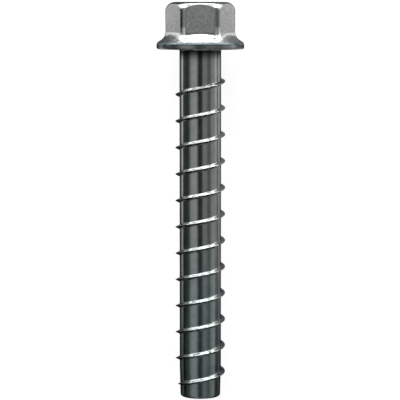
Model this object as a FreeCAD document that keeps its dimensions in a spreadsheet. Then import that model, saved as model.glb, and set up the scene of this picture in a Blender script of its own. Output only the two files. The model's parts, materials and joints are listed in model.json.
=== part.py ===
import FreeCAD, Part
import math
import os

import Sketcher

# Concrete screw: a hexagon head with a flange formed on it, a plain neck, a round shank with
# a coarse right-hand thread that cuts its own groove in a drilled hole, and a blunt tip.
# The features are made about the Z axis, with the bearing face of the flange at Z = 0, the
# shank running down from it and a flat of the hexagon facing -Y. The finished screw is then
# laid down on the surface Z = 0, head towards +Y. Lengths are in millimetres, angles in degrees.

SIZES = [
    ("shank_length", 100.0, "from the bearing face to the tip"),
    ("core_diameter", 11.9, "shank between the ridges of the thread"),
    ("tip_diameter", 11.4, "end of the taper, before its edge is bevelled"),
    ("tip_taper", 9.0, "length over which the shank narrows to the tip"),
    ("tip_bevel", 0.5, "bevel round the end face of the tip"),
    ("thread_diameter", 14.2, "over the crests"),
    ("thread_pitch", 7.6, "rise in one turn"),
    ("flank_angle", 31.0, "lean of each flank of the ridge"),
    ("root_depth", 0.6, "how far the ridge is rooted below the surface of the core"),
    ("fade_sink", 0.2, "how far below the surface of the core the ends of the crest stop"),
    ("neck_length", 8.7, "from the bearing face to the crest where the full thread starts"),
    ("tip_lead", 4.7, "from the crest where the full thread ends to the tip"),
    ("upper_fade", 120.0, "angle over which the thread dies out at the neck"),
    ("lower_fade", 110.0, "angle over which the thread dies out at the tip"),
    ("thread_clock", 20.0, "angle about Z from +X to the start of the full thread"),
    ("head_height", 13.4, "from the bearing face to the top"),
    ("wrench_size", 18.0, "opening of the wrench that fits the head"),
    ("wrench_play", 0.2, "between the wrench and the flats"),
    ("corner_round", 2.2, "radius of the upright corners of the hexagon"),
    ("crown_flat", 14.8, "diameter of the flat top of the head"),
    ("crown_break", 17.6, "diameter where the slope of the crown turns steeper"),
    ("crown_slope", 22.0, "fall of the crown round the flat top"),
    ("crown_fall", 50.0, "fall of the crown over the corners"),
    ("flange_diameter", 25.0, "over the rim"),
    ("rim_height", 1.8, "from the bearing face to the slope, before the bevel"),
    ("flange_slope", 33.0, "rise of the slope from the rim to the hexagon"),
    ("rim_upper_bevel", 0.7, "bevel between the rim and the slope"),
    ("rim_lower_bevel", 0.4, "bevel between the rim and the bearing face"),
    ("foot_round", 1.4, "fillet radius where the flats meet the slope"),
]

os.makedirs("parts", exist_ok=True)
doc = FreeCAD.newDocument("ConcreteScrew")
sheet = doc.addObject("Spreadsheet::Sheet", "Sizes")
for row, (alias, value, note) in enumerate(SIZES, start=1):
    sheet.set(f"A{row}", alias)
    sheet.set(f"B{row}", str(value))
    sheet.set(f"C{row}", note)
    sheet.setAlias(f"B{row}", alias)
doc.recompute()


def size(alias):
    """Value of one driving dimension."""
    return float(sheet.get(alias))


body = doc.addObject("PartDesign::Body", "ConcreteScrew")
body.Label = "concrete_screw"
doc.recompute()
origin_planes = {plane.Role: plane for plane in body.Origin.OriginFeatures}


def new_sketch(name, plane):
    """An empty sketch on one of the body's origin planes."""
    sketch = body.newObject("Sketcher::SketchObject", name)
    sketch.AttachmentSupport = [(origin_planes[plane], "")]
    sketch.MapMode = "FlatFace"
    return sketch


def hold(sketch, kind, axis, point, distance):
    """Puts a point on an axis, or holds it at a distance that may start with a minus sign."""
    if distance == "0":
        sketch.addConstraint(Sketcher.Constraint("PointOnObject", *point, axis))
        return
    origin = (-1, 1)
    ends = (*point, *origin) if distance.startswith("-") else (*origin, *point)
    index = sketch.addConstraint(Sketcher.Constraint(kind, *ends, 1.0))
    sketch.setExpression(f"Constraints[{index}]", distance.removeprefix("-"))


def on_circle(radius, count):
    """Points spread evenly round a circle, the first on X."""
    turns = [math.tau * k / count for k in range(count)]
    return [FreeCAD.Vector(radius * math.cos(turn), radius * math.sin(turn)) for turn in turns]


def closed_lines(sketch, points):
    """Joins the points, and the last to the first, by lines that share their ends."""
    count = len(points)
    for k in range(count):
        sketch.addGeometry(Part.LineSegment(points[k], points[(k + 1) % count]), False)
    for k in range(count):
        sketch.addConstraint(Sketcher.Constraint("Coincident", k, 2, (k + 1) % count, 1))


def outline(sketch, corners):
    """Closed outline of straight lines whose corners are pairs of expressions."""
    closed_lines(sketch, on_circle(1.0, len(corners)))
    for k, (across, up) in enumerate(corners):
        hold(sketch, "DistanceX", -2, (k, 1), across)
        hold(sketch, "DistanceY", -1, (k, 1), up)
    doc.recompute()
    return sketch


def feature(kind, name, **settings):
    """A feature of the body; a setting given as text is an expression."""
    made = body.newObject(f"PartDesign::{kind}", name)
    for key, value in settings.items():
        if isinstance(value, str):
            made.setExpression(key, value)
        else:
            setattr(made, key, value)
    doc.recompute()
    return made


def turned(kind, name, profile):
    """A profile turned a whole turn about Z, added or cut away."""
    return feature(kind, name, Profile=profile, ReferenceAxis=(profile, ["V_Axis"]), Angle=360.0)


def edges(made, test):
    """Names of the edges whose middle passes the test."""
    names = []
    for k, edge in enumerate(made.Shape.Edges, start=1):
        middle = edge.valueAt((edge.FirstParameter + edge.LastParameter) / 2)
        if test(edge, math.hypot(middle.x, middle.y), middle.z):
            names.append(f"Edge{k}")
    return names


def is_upright(edge):
    """Whether an edge runs along Z."""
    return abs(edge.tangentAt(edge.FirstParameter).z) > 0.999


# The hexagon, with corners on X and its upright corners rounded.
hexagon = new_sketch("HexagonOutline", "XY_Plane")
corner_radius = size("wrench_size") / math.sqrt(3)
closed_lines(hexagon, on_circle(corner_radius, 6))
hexagon.addGeometry(Part.Circle(FreeCAD.Vector(), FreeCAD.Vector(0, 0, 1), corner_radius), True)
hexagon.addConstraint(Sketcher.Constraint("Coincident", 6, 3, -1, 1))
for side in range(6):
    hexagon.addConstraint(Sketcher.Constraint("PointOnObject", side, 1, 6))
for side in range(5):
    hexagon.addConstraint(Sketcher.Constraint("Equal", side, side + 1))
hold(hexagon, "DistanceY", -1, (0, 1), "0")
hold(hexagon, "DistanceY", -1, (1, 1), "(Sizes.wrench_size - Sizes.wrench_play) / 2")
prism = feature("Pad", "Hexagon", Profile=hexagon, Length="Sizes.head_height")


def at_corner(edge, from_axis, z):
    """Test for an upright corner of the hexagon."""
    return is_upright(edge)


prism = feature("Fillet", "CornerRounds", Base=(prism, edges(prism, at_corner)), Radius="Sizes.corner_round")

# The crown is turned away all round: two slopes from the edge of the flat top.
CROWN_STEP = "(Sizes.crown_break - Sizes.crown_flat) / 2 * tan(Sizes.crown_slope)"
CROWN_DROP = "(Sizes.wrench_size - Sizes.crown_break / 2) * tan(Sizes.crown_fall)"
crown_outline = outline(new_sketch("CrownOutline", "XZ_Plane"), [
    ("Sizes.crown_flat / 2", "Sizes.head_height"),
    ("Sizes.crown_break / 2", f"Sizes.head_height - {CROWN_STEP}"),
    ("Sizes.wrench_size", f"Sizes.head_height - {CROWN_STEP} - {CROWN_DROP}"),
    ("Sizes.wrench_size", "Sizes.head_height"),
])
turned("Groove", "Crown", crown_outline)

# Shank, tip and flange are one turned blank. Its slope runs on inwards under the hexagon.
CONE_TOP = "Sizes.rim_height + (Sizes.flange_diameter - Sizes.core_diameter) / 2 * tan(Sizes.flange_slope)"
blank_outline = outline(new_sketch("BlankOutline", "XZ_Plane"), [
    ("0", "-Sizes.shank_length"),
    ("Sizes.tip_diameter / 2", "-Sizes.shank_length"),
    ("Sizes.core_diameter / 2", "-(Sizes.shank_length - Sizes.tip_taper)"),
    ("Sizes.core_diameter / 2", "0"),
    ("Sizes.flange_diameter / 2", "0"),
    ("Sizes.flange_diameter / 2", "Sizes.rim_height"),
    ("Sizes.core_diameter / 2", CONE_TOP),
    ("0", CONE_TOP),
])
blank = turned("Revolution", "Blank", blank_outline)
TURNED_EDGES = [
    ("TipBevel", size("tip_diameter") / 2, -size("shank_length"), "Sizes.tip_bevel"),
    ("RimLowerBevel", size("flange_diameter") / 2, 0.0, "Sizes.rim_lower_bevel"),
    ("RimUpperBevel", size("flange_diameter") / 2, size("rim_height"), "Sizes.rim_upper_bevel"),
]
for name, radius, height, width in TURNED_EDGES:
    def at_ring(edge, from_axis, z):
        """Test for the round edge at this radius and height."""
        return math.dist((from_axis, z), (radius, height)) < 1e-4

    blank = feature("Chamfer", name, Base=(blank, edges(blank, at_ring)), Size=width)


def at_foot(edge, from_axis, z):
    """Test for the edges where the hexagon stands on the slope."""
    between = size("rim_height") < z < size("head_height") / 2
    return between and from_axis < corner_radius and not is_upright(edge)


feature("Fillet", "FootRounds", Base=(blank, edges(blank, at_foot)), Radius="Sizes.foot_round")

# The thread is one ridge wound round the core: a full stretch, and a stretch at each end
# whose crest sinks into the core as it goes on.
CREST_RADIUS = "Sizes.thread_diameter / 2"
ROOT_RADIUS = "(Sizes.core_diameter / 2 - Sizes.root_depth)"
HALF_ROOT = f"({CREST_RADIUS} - {ROOT_RADIUS}) * tan(Sizes.flank_angle)"
FULL_HEIGHT = "(Sizes.shank_length - Sizes.tip_lead - Sizes.neck_length)"
CREST_SINK = "((Sizes.thread_diameter - Sizes.core_diameter) / 2 + Sizes.fade_sink)"


def ridge_section(name, clock, depth):
    """Section of the ridge on a plane through Z, turned from +X by clock, its own origin at its depth."""
    section = new_sketch(name, "XZ_Plane")
    section.AttachmentOffset = FreeCAD.Placement(
        FreeCAD.Vector(), FreeCAD.Rotation(FreeCAD.Vector(0, 1, 0), 1)
    )
    section.setExpression("AttachmentOffset.Rotation.Angle", f"{clock} * 1 deg")
    section.setExpression("AttachmentOffset.Base.y", f"-{depth}")
    return outline(section, [(ROOT_RADIUS, f"-{HALF_ROOT}"), (CREST_RADIUS, "0"), (ROOT_RADIUS, HALF_ROOT)])


def wound(name, section, turns, gain, downward):
    """Winds a section round Z; gain is how much its radius grows in one turn."""
    return feature(
        "AdditiveHelix", name, Profile=section, ReferenceAxis=(section, ["V_Axis"]), Mode=3,
        Turns=turns, Height=f"{turns} * Sizes.thread_pitch", Growth=gain, Reversed=downward,
    )


FULL_TURNS = f"{FULL_HEIGHT} / Sizes.thread_pitch"
upper_end = ridge_section("UpperEnd", "Sizes.thread_clock", "Sizes.neck_length")
lower_end = ridge_section(
    "LowerEnd", f"(Sizes.thread_clock - 360 * {FULL_TURNS})", "(Sizes.shank_length - Sizes.tip_lead)"
)
wound("Thread", upper_end, FULL_TURNS, 0.0, True)
wound("UpperFade", upper_end, "Sizes.upper_fade / 360", f"-{CREST_SINK} * 360 / Sizes.upper_fade", False)
wound("LowerFade", lower_end, "Sizes.lower_fade / 360", f"-{CREST_SINK} * 360 / Sizes.lower_fade", True)


def rest_tilt():
    """Angle of the axis when the rim of the flange and the last crest below it touch the ground."""
    ground_clock = 90.0
    full_turns = (size("shank_length") - size("tip_lead") - size("neck_length")) / size("thread_pitch")
    turns_left = (full_turns - (size("thread_clock") - ground_clock) / 360) % 1
    crest_depth = size("shank_length") - size("tip_lead") - turns_left * size("thread_pitch")
    drop = (size("flange_diameter") - size("thread_diameter")) / 2
    return math.degrees(math.atan2(drop, crest_depth + size("rim_lower_bevel")))


# The screw lies with the flat that faced -Y upwards, the middle of its box over the origin.
body.Placement.Rotation = FreeCAD.Rotation(FreeCAD.Vector(1, 0, 0), rest_tilt() - 90)
box = body.Shape.optimalBoundingBox(True, False)
body.Placement.Base = FreeCAD.Vector(-box.Center.x, -box.Center.y, -box.ZMin)
doc.recompute()

faulty = [item.Name for item in doc.Objects if "Invalid" in item.State or "Error" in item.State]
if faulty:
    raise RuntimeError(f"features that failed: {faulty}")
shape = body.Shape
if shape.isNull() or not shape.isValid() or len(shape.Solids) != 1:
    raise RuntimeError(f"{body.Label} isn't one valid solid")
shape.exportStep(f"parts/{body.Label}.step")
print(shape.optimalBoundingBox(True, False), f"volume {shape.Volume:.1f}")
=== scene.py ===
import json
import math

import bmesh
import bpy
from mathutils import Matrix, Vector


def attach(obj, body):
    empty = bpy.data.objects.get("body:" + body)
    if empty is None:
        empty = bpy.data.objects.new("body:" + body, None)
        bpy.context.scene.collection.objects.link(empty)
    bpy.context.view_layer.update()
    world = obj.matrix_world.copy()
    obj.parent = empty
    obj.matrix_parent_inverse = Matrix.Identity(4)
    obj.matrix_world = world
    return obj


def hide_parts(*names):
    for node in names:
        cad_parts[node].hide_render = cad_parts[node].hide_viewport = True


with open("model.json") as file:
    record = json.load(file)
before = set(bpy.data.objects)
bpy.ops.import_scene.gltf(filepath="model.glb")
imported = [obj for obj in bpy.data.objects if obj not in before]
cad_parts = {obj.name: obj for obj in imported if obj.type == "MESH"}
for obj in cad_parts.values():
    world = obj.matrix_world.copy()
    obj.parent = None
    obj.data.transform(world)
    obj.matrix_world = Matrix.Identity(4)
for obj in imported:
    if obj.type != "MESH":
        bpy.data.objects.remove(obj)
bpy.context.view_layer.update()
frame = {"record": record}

# The screw is made about Z with the bearing face of its flange at Z = 0, in millimetres, and is
# then laid down where the bearing face of the frame is.
MM = 0.001
SHANK_LENGTH = 100.0
CORE_RADIUS = 5.95
TIP_RADIUS = 5.7
TIP_TAPER = 9.0
TIP_ROUND = 0.65
CREST_RADIUS = 7.1
PITCH = 7.6
NECK_LENGTH = 8.7
TIP_LEAD = 4.7
# Where the full thread starts, in degrees round the axis, and how far below the core the crest
# sinks where it has died out.
THREAD_CLOCK = 20.0
FADE_SINK = 0.2
UPPER_FADE = 120.0
LOWER_FADE = 110.0
HEAD_HEIGHT = 13.4
APOTHEM = 8.9
CORNER_ROUND = 2.2
CROWN_FLAT = 7.1
CROWN_ROUND = 3.04
FLANGE_RADIUS = 12.49
RIM_HEIGHT = 1.8
FLANGE_SLOPE = math.radians(33.0)
RIM_UPPER_ROUND = 1.2
RIM_LOWER_ROUND = 0.5
NECK_ROUND = 0.5
FOOT_ROUND = 1.4
FOOT_FLARE = 1.3
EDGE_ROUND = 0.25
EDGE_INSET = 0.2
HEX_START = 11.55

# Steps of a turn of the ridge, of each flat and corner of the hexagon, and of the rounds. The
# finish of a flat fades out over PRESSED_STEPS of the corner beside it.
STEPS = 216
FLAT_STEPS = 12
CORNER_STEPS = 24
PRESSED_STEPS = 5
NECK_STEPS = 5
TIP_STEPS = 6
RIM_LOWER_STEPS = 6
RIM_UPPER_STEPS = 8
FOOT_STEPS = 8
EDGE_STEPS = 4
CROWN_STEPS = 9

# Turns of full thread, and turns wound past each end of it, in which the ridge dies out.
FULL_TURNS = (SHANK_LENGTH - TIP_LEAD - NECK_LENGTH) / PITCH
TURNS_ABOVE = 1.75
TURNS_BELOW = 1.3

# Half of the ridge's section, from its foot to the middle of its crest: distance along the
# axis from the crest, and share of the ridge's height.
HALF_RIDGE = [
    (0.76, 0.0), (0.65, 0.02), (0.56, 0.09), (0.48, 0.22),
    (0.18, 0.835), (0.135, 0.94), (0.088, 0.985), (0.0, 1.0),
]
RIDGE_REACH = HALF_RIDGE[0][0]
CREST_HEIGHT = CREST_RADIUS - CORE_RADIUS

# An extra row this far from the ridge's foot and from both ends of the shank, which keeps the
# shading of the edge from spreading over the long faces beside it.
EDGE_LOOP = 0.2

# Points closer than the first are one, edges shorter than the second are removed, and places
# within the third of each other are the same place.
MERGE_DISTANCE = 0.002
SHORTEST_EDGE = 0.0005
HAIR = 1e-3


def placed_frame():
    """Where the screw lies: its bearing face and axis, read from the frame's mount."""
    mount = next(m for m in frame["record"]["mounts"] if m["name"] == "bearing_face")
    to_head = -Vector(mount["axis"]).normalized()
    across = Vector((1.0, 0.0, 0.0))
    down = to_head.cross(across)
    point = Vector(mount["pos_m"])
    centre = Vector((0.0, point.y, point.z))
    turn = Matrix((across, down, to_head)).transposed()
    return Matrix.Translation(centre) @ turn.to_4x4() @ Matrix.Scale(MM, 4)


LIE = placed_frame()


def core_radius_at(z):
    """Radius of the core, which narrows towards the tip."""
    into_taper = max(0.0, -z - (SHANK_LENGTH - TIP_TAPER)) / TIP_TAPER
    return CORE_RADIUS + (TIP_RADIUS - CORE_RADIUS) * into_taper


def crest_radius_at(turn):
    """Radius of the crest, which sinks into the core past both ends of the full thread."""
    past = max(-turn * 360.0 / UPPER_FADE, (turn - FULL_TURNS) * 360.0 / LOWER_FADE, 0.0)
    return CREST_RADIUS - (CREST_HEIGHT + FADE_SINK) * past


def threaded_shank(bm):
    """Winds a pitch of the section, repeats it down the shank and lets the ridge's ends die out."""
    above = bm.verts.layers.float["ridge_above"]
    below = bm.verts.layers.float["ridge_below"]
    half = [(PITCH / 2, 0.0), (PITCH / 3, 0.0), (RIDGE_REACH + EDGE_LOOP, 0.0), *HALF_RIDGE]
    section = [(-a, share) for a, share in half] + [(a, share) for a, share in reversed(half[:-1])]
    turns = math.ceil(FULL_TURNS + TURNS_BELOW + TURNS_ABOVE)
    start_angle = math.radians(THREAD_CLOCK + 360.0 * TURNS_ABOVE)
    top = -NECK_LENGTH + PITCH * TURNS_ABOVE
    # The ridge is wound one millimetre high, so that each point still tells its share of the height.
    verts = []
    start_x, start_y = math.cos(start_angle), math.sin(start_angle)
    for along, share in section:
        radius = CORE_RADIUS + share
        verts.append(bm.verts.new((radius * start_x, radius * start_y, top - along)))
    edges = [bm.edges.new(pair) for pair in zip(verts, verts[1:])]
    bmesh.ops.spin(
        bm, geom=verts + edges, cent=(0, 0, 0), axis=(0, 0, 1), dvec=(0, 0, -PITCH / STEPS),
        angle=-math.tau, steps=STEPS,
    )
    one_turn = bm.verts[:] + bm.edges[:] + bm.faces[:]
    for k in range(1, turns):
        copied = bmesh.ops.duplicate(bm, geom=one_turn)["geom"]
        copied_verts = [part for part in copied if isinstance(part, bmesh.types.BMVert)]
        bmesh.ops.translate(bm, verts=copied_verts, vec=(0, 0, -PITCH * k))
    # Each point is measured from the middle of the nearest crest, turn by turn from the full thread's
    # start, and gets the height that the ridge has there.
    for vert in bm.verts:
        clock = (THREAD_CLOCK - math.degrees(math.atan2(vert.co.y, vert.co.x))) / 360.0
        along_axis = (-vert.co.z - NECK_LENGTH) / PITCH
        turn = round(along_axis - clock) + clock
        offset = (along_axis - turn) * PITCH
        share = math.hypot(vert.co.x, vert.co.y) - CORE_RADIUS
        height = max(0.0, crest_radius_at(turn) - core_radius_at(vert.co.z + offset))
        fullness = min(1.0, height / CREST_HEIGHT)
        if abs(offset) < RIDGE_REACH + HAIR:
            vert.co.z += offset * (1.0 - fullness)
        radius = core_radius_at(vert.co.z) + share * height
        scale = radius / math.hypot(vert.co.x, vert.co.y)
        vert.co.x *= scale
        vert.co.y *= scale
        ridge = share * fullness
        vert[above] = ridge if offset < HAIR else 0.0
        vert[below] = ridge if offset > -HAIR else 0.0
    bmesh.ops.remove_doubles(bm, verts=bm.verts, dist=MERGE_DISTANCE)
    bmesh.ops.dissolve_degenerate(bm, edges=bm.edges, dist=SHORTEST_EDGE)
    # Both ends get their extra row first and are then cut off.
    for height, outward in ((-NECK_ROUND, 1.0), (TIP_ROUND - SHANK_LENGTH, -1.0)):
        for inset in (EDGE_LOOP, 0.0):
            everything = bm.verts[:] + bm.edges[:] + bm.faces[:]
            bmesh.ops.bisect_plane(
                bm, geom=everything, dist=1e-5, plane_co=(0, 0, height - outward * inset),
                plane_no=(0, 0, outward), clear_outer=inset == 0.0,
            )


def open_ring(bm, height):
    """The open edges at a height."""
    return [e for e in bm.edges if e.is_boundary and all(abs(v.co.z - height) < HAIR for v in e.verts)]


def grow(bm, ring, steps):
    """Extrudes a round ring through steps of radius and height, and returns the last ring."""
    for radius, height in steps:
        made = bmesh.ops.extrude_edge_only(bm, edges=ring)["geom"]
        ring = [part for part in made if isinstance(part, bmesh.types.BMEdge)]
        verts = [part for part in made if isinstance(part, bmesh.types.BMVert)]
        for vert in verts:
            scale = radius / math.hypot(vert.co.x, vert.co.y)
            vert.co = (vert.co.x * scale, vert.co.y * scale, height)
    return ring


def arc(centre, radius, start, end, count):
    """Points along an arc, without its first, as pairs of radius and height; angles in degrees."""
    turns = [math.radians(start + (end - start) * k / count) for k in range(1, count + 1)]
    return [(centre[0] + radius * math.cos(t), centre[1] + radius * math.sin(t)) for t in turns]


def close_middle(bm, ring, height):
    """Closes a round ring with smaller rings and a pole."""
    radius = math.hypot(ring[0].verts[0].co.x, ring[0].verts[0].co.y)
    ring = grow(bm, ring, [(radius * share, height) for share in (0.85, 0.5, 0.15)])
    made = bmesh.ops.extrude_edge_only(bm, edges=ring)["geom"]
    verts = [part for part in made if isinstance(part, bmesh.types.BMVert)]
    bmesh.ops.pointmerge(bm, verts=verts, merge_co=(0, 0, height))


def slope_height(radius):
    """Height of the flange's slope at a radius."""
    return RIM_HEIGHT + (FLANGE_RADIUS - radius) * math.tan(FLANGE_SLOPE)


def tip(bm):
    """Rounded edge and flat end."""
    ring = open_ring(bm, TIP_ROUND - SHANK_LENGTH)
    centre = (TIP_RADIUS - TIP_ROUND, TIP_ROUND - SHANK_LENGTH)
    steps = arc(centre, TIP_ROUND, 0, -90, TIP_STEPS)
    close_middle(bm, grow(bm, ring, steps), -SHANK_LENGTH)


def flange(bm):
    """Fillet under the flange, bearing face, rim with two rounds, and the start of the slope."""
    slope_degrees = math.degrees(FLANGE_SLOPE)
    upper_reach = RIM_UPPER_ROUND * math.tan((math.pi / 2 - FLANGE_SLOPE) / 2)
    lower = (FLANGE_RADIUS - RIM_LOWER_ROUND, RIM_LOWER_ROUND)
    upper = (FLANGE_RADIUS - RIM_UPPER_ROUND, RIM_HEIGHT - upper_reach)
    middle_row, outer_row = CORE_RADIUS + 3.0, lower[0] - 0.4
    steps = arc((CORE_RADIUS + NECK_ROUND, -NECK_ROUND), NECK_ROUND, 180, 90, NECK_STEPS)
    steps += [(middle_row, 0.0), (outer_row, 0.0), (lower[0], 0.0)]
    steps += arc(lower, RIM_LOWER_ROUND, -90, 0, RIM_LOWER_STEPS)
    steps += [(FLANGE_RADIUS, upper[1])]
    steps += arc(upper, RIM_UPPER_ROUND, 0, 90 - slope_degrees, RIM_UPPER_STEPS)
    steps += [(HEX_START, slope_height(HEX_START))]
    return grow(bm, open_ring(bm, -NECK_ROUND), steps)


def hexagon_outline():
    """Points round the rounded hexagon, a flat facing -Y first, as pairs of angle and distance."""
    inner = APOTHEM - CORNER_ROUND
    straight = inner * math.tan(math.radians(30))
    side = [(APOTHEM, straight * (2 * k / FLAT_STEPS - 1)) for k in range(FLAT_STEPS)]
    for k in range(CORNER_STEPS):
        turn = math.radians(60 * k / CORNER_STEPS)
        side.append((inner + CORNER_ROUND * math.cos(turn), straight + CORNER_ROUND * math.sin(turn)))
    points = []
    for k in range(6):
        facing = math.radians(60 * k - 90)
        points += [(facing + math.atan2(y, x), math.hypot(x, y)) for x, y in side]
    return points


def crown_height(radius):
    """Height of the crown at a distance from the axis."""
    out = max(0.0, radius - CROWN_FLAT)
    return HEAD_HEIGHT - CROWN_ROUND + math.sqrt(CROWN_ROUND ** 2 - out ** 2)


def head_profile(reach):
    """Section of the head where the hexagon reaches this far out: its foot, flat and crown."""
    foot = FOOT_ROUND + FOOT_FLARE * (reach - APOTHEM)
    tangent = foot / math.tan((math.pi / 2 + FLANGE_SLOPE) / 2)
    centre = (reach + foot, slope_height(reach) + tangent)
    start = HEX_START - 0.1
    rise = [(start, slope_height(start))]
    rise += [(centre[0] - foot * math.sin(FLANGE_SLOPE), centre[1] - foot * math.cos(FLANGE_SLOPE))]
    rise += arc(centre, foot, 270 - math.degrees(FLANGE_SLOPE), 180, FOOT_STEPS)
    edge_low = crown_height(reach) - EDGE_ROUND
    edge_in = reach - EDGE_INSET
    flat = [(reach, centre[1] + (edge_low - centre[1]) * share) for share in (0.04, 0.5, 0.96, 1.0)]
    # The edge of the crown is a quadratic curve, weighted from the flat to the turned face.
    crown = []
    for k in range(1, EDGE_STEPS + 1):
        s = k / EDGE_STEPS
        first, middle, last = (1 - s) ** 2, 2 * s * (1 - s), s * s
        radius = (first + middle) * reach + last * edge_in
        height = first * edge_low + middle * crown_height(reach) + last * crown_height(edge_in)
        crown.append((radius, height))
    for k in range(1, CROWN_STEPS + 1):
        radius = edge_in + (CROWN_FLAT - edge_in) * k / CROWN_STEPS
        crown.append((radius, crown_height(radius)))
    return rise, flat, crown


def head(bm, slope_ring):
    """Hexagon with rounded corners, flared feet and a turned crown, joined to the flange."""
    pressed = bm.verts.layers.float["pressed"]
    outline = hexagon_outline()
    sections = [head_profile(reach) for angle, reach in outline]
    rise_levels, flat_levels = len(sections[0][0]), len(sections[0][1])
    profiles = [rise + flat + crown for rise, flat, crown in sections]
    ring_verts = bmesh.ops.create_circle(bm, segments=len(outline), radius=HEX_START)["verts"]
    ring_verts.sort(key=lambda v: (math.atan2(v.co.y, v.co.x) + math.pi / 2 + HAIR) % math.tau)
    first_ring = list({e for v in ring_verts for e in v.link_edges})
    ring = first_ring
    order = {vert: k for k, vert in enumerate(ring_verts)}
    for level in range(len(profiles[0])):
        if level:
            below = {v for e in ring for v in e.verts}
            made = bmesh.ops.extrude_edge_only(bm, edges=ring)["geom"]
            ring = [part for part in made if isinstance(part, bmesh.types.BMEdge)]
            upper = {}
            for vert in (part for part in made if isinstance(part, bmesh.types.BMVert)):
                under = next(e.other_vert(vert) for e in vert.link_edges if e.other_vert(vert) in below)
                upper[vert] = order[under]
            order = upper
        on_flat = rise_levels - 1 <= level <= rise_levels + flat_levels
        for vert, k in order.items():
            radius, height = profiles[k][level]
            angle = outline[k][0]
            vert.co = (radius * math.cos(angle), radius * math.sin(angle), height)
            into_corner = max(0, k % (FLAT_STEPS + CORNER_STEPS) - FLAT_STEPS)
            from_flat = min(into_corner, (CORNER_STEPS - into_corner) % CORNER_STEPS)
            vert[pressed] = max(0.0, 1.0 - from_flat / PRESSED_STEPS) if on_flat else 0.0
    close_middle(bm, ring, HEAD_HEIGHT)
    bmesh.ops.bridge_loops(bm, edges=slope_ring + first_ring)


def finished(name, bm):
    """Makes the object: normals outwards, smooth, laid in its place."""
    bmesh.ops.recalc_face_normals(bm, faces=bm.faces)
    if bm.calc_volume(signed=True) < 0.0:
        bmesh.ops.reverse_faces(bm, faces=bm.faces)
    for face in bm.faces:
        face.smooth = True
    bmesh.ops.transform(bm, matrix=LIE, verts=bm.verts)
    mesh = bpy.data.meshes.new(name)
    bm.to_mesh(mesh)
    bm.free()
    piece = bpy.data.objects.new(name, mesh)
    bpy.context.collection.objects.link(piece)
    return piece


bm = bmesh.new()
for mask in ("ridge_above", "ridge_below", "pressed"):
    bm.verts.layers.float.new(mask)
threaded_shank(bm)
tip(bm)
head(bm, flange(bm))
screw = finished("screw", bm)
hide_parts("concrete_screw")
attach(screw, "root")


class Socket:
    """A shader socket that arithmetic works on."""

    def __init__(self, finish, source):
        self.finish = finish
        self.source = source

    def maths(self, operation, first, second):
        """A Math node on two values, one of which is this socket."""
        return self.finish.add("ShaderNodeMath", {"operation": operation}, {0: first, 1: second})

    def __add__(self, other):
        return self.maths("ADD", self, other)

    def __radd__(self, other):
        return self.maths("ADD", other, self)

    def __sub__(self, other):
        return self.maths("SUBTRACT", self, other)

    def __rsub__(self, other):
        return self.maths("SUBTRACT", other, self)

    def __mul__(self, other):
        return self.maths("MULTIPLY", self, other)

    def __rmul__(self, other):
        return self.maths("MULTIPLY", other, self)


class Finish:
    """The nodes of a material or of the world."""

    def __init__(self, holder):
        holder.use_nodes = True
        self.tree = holder.node_tree
        self.tree.nodes.clear()

    def add(self, kind, settings, values, output=0):
        """An output of a new node with these settings, and these values or links in its sockets."""
        node = self.tree.nodes.new(kind)
        for name, value in settings.items():
            if name == "stops":
                elements = node.color_ramp.elements
                while len(elements) < len(value):
                    elements.new(0.5)
                for element, (place, level) in zip(elements, value):
                    element.position = place
                    element.color = (level, level, level, 1.0)
            else:
                setattr(node, name, value)
        for name, value in values.items():
            if isinstance(value, Socket):
                self.tree.links.new(value.source, node.inputs[name])
            else:
                node.inputs[name].default_value = value
        return Socket(self, node.outputs[output]) if node.outputs else None

    def place(self, kind="Object"):
        """Coordinates of the point that is shaded."""
        return self.add("ShaderNodeTexCoord", {}, {}, kind)

    def part(self, vector, axis):
        """One coordinate of a vector."""
        return self.add("ShaderNodeSeparateXYZ", {}, {0: vector}, axis)

    def noise(self, size, detail, low, high):
        """Noise whose spots are about this many metres across, spread over 0 to 1 from low to high."""
        values = {"Vector": self.place(), "Scale": 1.0 / size, "Detail": detail}
        return self.step(self.add("ShaderNodeTexNoise", {}, values), low, high, "LINEAR")

    def step(self, value, low, high, kind="SMOOTHSTEP"):
        """A value that goes from 0 at low to 1 at high."""
        values = {"Value": value, "From Min": low, "From Max": high}
        return self.add("ShaderNodeMapRange", {"interpolation_type": kind}, values)

    def ramp(self, value, reach, levels):
        """Grey levels at places from minus reach to reach."""
        stops = [((place / reach + 1) / 2, level) for place, level in levels]
        return self.add("ShaderNodeValToRGB", {"stops": stops}, {0: value * (0.5 / reach) + 0.5})

    def blend(self, share, first, second):
        """Mixes two colours by a share of the second."""
        return self.add("ShaderNodeMix", {"data_type": "RGBA"}, {0: share, 6: first, 7: second}, 2)


# Heights above the bearing face, in metres, between which a part of the finish or of the painted light and
# shade sets in or ends, and the spacing of the rings that turning left by the tip.
HEAD_STARTS = (-0.0004, 0.0)
# The painted shade on the neck under the flange sets in at the first height and is full at the second.
NECK_SHADE_STARTS = (-0.0038, -0.0003)
LOW_STARTS = (-0.045, -0.075)
TURNED_STARTS = (-0.0955, -0.0965)
RIM_ENDS = (0.0022, 0.0020)
EDGE_STARTS = (0.0011, 0.0014)
SLOPE_STARTS = (0.0020, 0.0023)
SLOPE_ENDS = (0.0068, 0.0056)
CROWN_STARTS = (0.0110, 0.0113)
RING_SPACING = 0.0006
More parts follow.
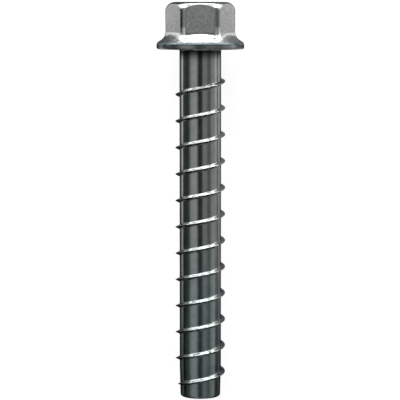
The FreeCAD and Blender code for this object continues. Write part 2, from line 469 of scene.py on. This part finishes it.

# Colours of the plating, among them painted highlights and painted shade as noted. Where there are two,
# spots of the second lie on the first.
UPPER_SHANK = (0.395, 0.42, 0.40, 1.0), (0.485, 0.505, 0.48, 1.0)
LOWER_SHANK = (0.40, 0.465, 0.47, 1.0), (0.50, 0.56, 0.565, 1.0)
# Painted shade on the neck, where the flange shades it.
PAINTED_NECK_SHADE = (0.025, 0.028, 0.026, 1.0)
HEAD = (0.36, 0.395, 0.40, 1.0)
# Painted shade on the rim's outer edge, darker than the head.
RIM_EDGE_SHADE = (0.15, 0.18, 0.19, 1.0)
# Painted highlight on the flange's slope, nearly white.
SLOPE_HIGHLIGHT = (0.90, 0.93, 0.94, 1.0)
# Painted light on the crown, lighter than the rest of the head.
CROWN_PAINTED_LIGHT = (0.58, 0.62, 0.63, 1.0)
FLATS = (0.57, 0.58, 0.56, 1.0), (0.87, 0.88, 0.85, 1.0)
# Painted highlight on the ridge's upper flanks, with darker chips as wear on the lower shank.
UPPER_FLANK_HIGHLIGHT_AND_CHIPS = (0.85, 0.86, 0.85, 1.0), (0.22, 0.23, 0.23, 1.0)
# Painted shade on the ridge's lower flanks.
LOWER_FLANK_SHADE = (0.17, 0.185, 0.185, 1.0)


def plated_steel():
    """Zinc plated steel: smooth on the shank and the slope, dull on the flats, worn on the ridge, with
    painted highlights on the slope, the crown and the ridge's upper flanks, and painted shade on its lower
    flanks, the rim's edge and the neck under the flange.
    """
    material = bpy.data.materials.new("plated_steel")
    steel = Finish(material)
    above, below, pressed = (
        steel.add("ShaderNodeAttribute", {"attribute_name": mask}, {}, "Fac")
        for mask in ("ridge_above", "ridge_below", "pressed")
    )
    grain = steel.noise(size=0.0006, detail=2.0, low=0.3, high=0.7)
    cloud = steel.noise(size=0.0024, detail=4.0, low=0.3, high=0.7)
    to_head = LIE.to_3x3().col[2].normalized()
    dot = {"operation": "DOT_PRODUCT"}
    height = steel.add("ShaderNodeVectorMath", dot, {0: steel.place(), 1: to_head}, "Value")
    height = height - to_head.dot(LIE.to_translation())
    head = steel.step(height, *HEAD_STARTS)
    neck_shade = steel.step(height, *NECK_SHADE_STARTS)
    low = steel.step(height, *LOW_STARTS)
    turned = steel.step(height, *TURNED_STARTS)
    ring_angle = height * (math.tau / RING_SPACING)
    rings = steel.add("ShaderNodeMath", {"operation": "SINE"}, {0: ring_angle}) * turned
    chipped = steel.noise(size=0.0011, detail=1.0, low=0.60, high=0.64) * low
    rim = steel.step(height, *RIM_ENDS) * head
    # Painted shade: the rim's edge is coloured darker.
    edge = steel.step(height, *EDGE_STARTS) * rim
    # Painted highlight: the slope between the rim and the hexagon's feet is coloured nearly white.
    slope = steel.step(height, *SLOPE_STARTS) * steel.step(height, *SLOPE_ENDS) * (1.0 - pressed)
    # Painted light: the crown is coloured lighter than the head.
    crown = steel.step(height, *CROWN_STARTS)
    # Painted highlight: the ridge's upper flanks are coloured nearly white.
    upper_flank = steel.step(above, 0.05, 0.20)
    # Painted shade: the ridge's lower flanks are coloured dark.
    lower_flank_shade = steel.step(below, 0.08, 0.30)
    colour = steel.blend(low, steel.blend(cloud, *UPPER_SHANK), steel.blend(cloud, *LOWER_SHANK))
    # Painted shade: the neck is darkened just under the flange.
    colour = steel.blend(neck_shade, colour, PAINTED_NECK_SHADE)
    colour = steel.blend(head, colour, HEAD)
    colour = steel.blend(edge, colour, RIM_EDGE_SHADE)
    colour = steel.blend(slope, colour, SLOPE_HIGHLIGHT)
    colour = steel.blend(crown, colour, CROWN_PAINTED_LIGHT)
    colour = steel.blend(pressed, colour, steel.blend(grain, *FLATS))
    colour = steel.blend(upper_flank, colour, steel.blend(chipped, *UPPER_FLANK_HIGHLIGHT_AND_CHIPS))
    colour = steel.blend(lower_flank_shade, colour, LOWER_FLANK_SHADE)
    roughness = 0.10 + grain * 0.05 + cloud * 0.05 + pressed * 0.29 + upper_flank * 0.10 + low * 0.04
    roughness = roughness + slope * 0.09 + rim * 0.14
    smooth = 1.0 - steel.add("ShaderNodeMath", {"operation": "MAXIMUM"}, {0: upper_flank, 1: slope}) * 0.9
    bump_height = (grain * 0.5 + cloud) * smooth * head + rings * 0.25
    bumps = steel.add("ShaderNodeBump", {}, {"Strength": 0.16, "Distance": 0.00004, "Height": bump_height})
    values = {"Base Color": colour, "Metallic": 1.0, "Roughness": roughness, "Normal": bumps}
    steel.add("ShaderNodeOutputMaterial", {}, {0: steel.add("ShaderNodeBsdfPrincipled", {}, values)})
    return material


screw.data.materials.append(plated_steel())

# How light the floor glows where metal mirrors it, by the distance across and along the screw and beyond its
# head: a painted reflection that stands for the panels round the sample in a studio, with a dark middle that
# stands for the screw's shadow under it.
FLOOR_ACROSS = [
    (-0.060, 0.08), (-0.047, 0.05), (-0.041, 0.98), (-0.034, 0.96), (-0.030, 0.44), (-0.023, 0.44),
    (-0.018, 0.06), (0.005, 0.05), (0.007, 0.16), (0.018, 0.10),
    (0.023, 0.68), (0.031, 0.66), (0.036, 0.27), (0.078, 0.30), (0.092, 0.80),
]
FLOOR_ALONG = [
    (-0.070, 0.05), (-0.045, 0.20), (-0.025, 0.45), (0.000, 0.76), (0.030, 1.00), (0.0415, 1.05),
    (0.0425, 0.05), (0.0455, 0.05), (0.0465, 1.15),
]
FLOOR_BEYOND = [(0.092, 0.0), (0.096, 2.8), (0.150, 2.8), (0.170, 0.3)]
FLOOR_REACH = 0.1
BEYOND_REACH = 0.2

# The strips of FLOOR_ACROSS are narrowed by the first, and spread towards the head by the second.
STRIP_SQUEEZE = 1.2
STRIP_SPREAD = 4.7

# The camera sees the floor as this share of a plain white; the rest is lit and holds the shadow.
WHITE_SHARE = 0.6
WHITE_LEVEL = 1.47
WHITE = (1.0, 1.0, 1.0, 1.0)
PAPER = (0.9, 0.9, 0.9, 1.0)


def plain_floor():
    """A wide pale floor that keeps the screw's shadow, and glows with a painted reflection where metal
    mirrors it.
    """
    floor_bm = bmesh.new()
    bmesh.ops.create_grid(floor_bm, x_segments=1, y_segments=1, size=1.5)
    floor_mesh = bpy.data.meshes.new("floor")
    floor_bm.to_mesh(floor_mesh)
    floor_bm.free()
    floor = bpy.data.objects.new("floor", floor_mesh)
    bpy.context.collection.objects.link(floor)
    material = bpy.data.materials.new("pale_floor")
    paper = Finish(material)
    matt = paper.add("ShaderNodeBsdfDiffuse", {}, {"Color": PAPER})
    white = paper.add("ShaderNodeEmission", {}, {"Color": WHITE, "Strength": WHITE_LEVEL})
    across, along = (paper.part(paper.place(), axis) for axis in "XY")
    sides = paper.ramp(across * (STRIP_SQUEEZE - along * STRIP_SPREAD), FLOOR_REACH, FLOOR_ACROSS)
    ends = paper.ramp(along, FLOOR_REACH, FLOOR_ALONG)
    beyond = paper.ramp(along, BEYOND_REACH, FLOOR_BEYOND)
    near = paper.step(along, FLOOR_BEYOND[1][0], FLOOR_BEYOND[0][0])
    glow = paper.add("ShaderNodeEmission", {}, {"Color": sides * ends * near + beyond, "Strength": 1.0})
    seen = paper.add("ShaderNodeLightPath", {}, {}, "Is Camera Ray")
    mirrored = paper.add("ShaderNodeLightPath", {}, {}, "Is Glossy Ray")
    plain = paper.add("ShaderNodeMixShader", {}, {0: seen * WHITE_SHARE, 1: matt, 2: white})
    shown = paper.add("ShaderNodeMixShader", {}, {0: mirrored, 1: plain, 2: glow})
    paper.add("ShaderNodeOutputMaterial", {}, {0: shown})
    floor.data.materials.append(material)


plain_floor()


def soft_box(name, place, aim, size, power):
    """A rectangular lamp that faces a point."""
    lamp = bpy.data.lights.new(name, "AREA")
    lamp.shape = "RECTANGLE"
    lamp.size, lamp.size_y = size
    lamp.energy = power
    box = bpy.data.objects.new(name, lamp)
    box.location = place
    box.rotation_euler = (Vector(aim) - Vector(place)).to_track_quat("-Z", "Y").to_euler()
    box.visible_camera = False
    bpy.context.collection.objects.link(box)


# Lamps for both sides of the crown, for the slope of the flange and for the ridge.
for hand, aside in (("left", -0.54), ("right", 0.54)):
    soft_box(
        f"crown_light_{hand}", place=(aside, 0.65, 0.12), aim=(0.0, 0.04, 0.0), size=(0.50, 0.30), power=2.0,
    )
soft_box("slope_light", place=(0.0, 0.78, 0.36), aim=(0.0, 0.045, 0.02), size=(0.42, 0.20), power=1.2)
soft_box("ridge_light", place=(0.0, 0.74, 0.52), aim=(0.0, 0.0, 0.0), size=(1.2, 0.24), power=3.5)

# Soft panels of the studio by their angle from straight up, to the right, and their brightness.
PANELS = [
    (-90, 0.045), (-68, 0.045), (-50, 0.43), (-22, 0.49), (-10, 0.03), (7, 0.03), (17, 0.30),
    (34, 0.29), (44, 0.14), (55, 0.15), (66, 0.35), (90, 0.42),
]
HAZE = (0.0, 0.012, 0.010, 1.0)

# Directions along the screw between which the panels dim towards the tip, by how much, and the
# even light that takes their place.
TIPWARD = (-0.15, -0.21)
TIPWARD_DIMMING = 0.45
TIPWARD_FILL = 0.02


def studio_walls():
    """Soft panels along the screw on both sides, dimmer towards the tip, and a white background."""
    world = bpy.data.worlds.new("studio")
    bpy.context.scene.world = world
    studio = Finish(world)
    across, along, up = (studio.part(studio.place("Generated"), axis) for axis in "XYZ")
    angle = studio.add("ShaderNodeMath", {"operation": "ARCTAN2"}, {0: across, 1: up})
    panel = studio.ramp(angle, math.pi / 2, [(math.radians(turn), level) for turn, level in PANELS])
    tipward = studio.step(along, *TIPWARD)
    light = panel * (1.0 - tipward * TIPWARD_DIMMING) + tipward * TIPWARD_FILL
    lit = studio.add("ShaderNodeBackground", {}, {"Color": studio.blend(light, HAZE, WHITE)})
    plain = studio.add("ShaderNodeBackground", {}, {"Color": WHITE})
    seen = studio.add("ShaderNodeLightPath", {}, {}, "Is Camera Ray")
    shown = studio.add("ShaderNodeMixShader", {}, {0: seen, 1: lit, 2: plain})
    studio.add("ShaderNodeOutputWorld", {}, {0: shown})


studio_walls()

# The camera looks down the shank from a little above the bearing face, as in the photograph.
CAMERA_DISTANCE = 600.0
CAMERA_HEIGHT = 14.6
CAMERA_ASIDE = -0.09
CAMERA_TILT = math.radians(5.50)
FOCAL_LENGTH = 189.2
camera_data = bpy.data.cameras.new("camera")
camera_data.lens = FOCAL_LENGTH
camera_data.sensor_width = 36.0
camera_data.clip_start = 0.01
camera = bpy.data.objects.new("camera", camera_data)
bpy.context.collection.objects.link(camera)
look = Vector((0.0, math.cos(CAMERA_TILT), -math.sin(CAMERA_TILT)))
side = Vector((1.0, 0.0, 0.0))
turn = Matrix((side, side.cross(look), -look)).transposed().to_4x4()
placed = LIE @ Matrix.Translation((CAMERA_ASIDE, -CAMERA_DISTANCE, CAMERA_HEIGHT)) @ turn
camera.location = placed.to_translation()
camera.rotation_euler = placed.to_quaternion().to_euler()
bpy.context.scene.camera = camera

bpy.context.scene.view_settings.view_transform = "Standard"
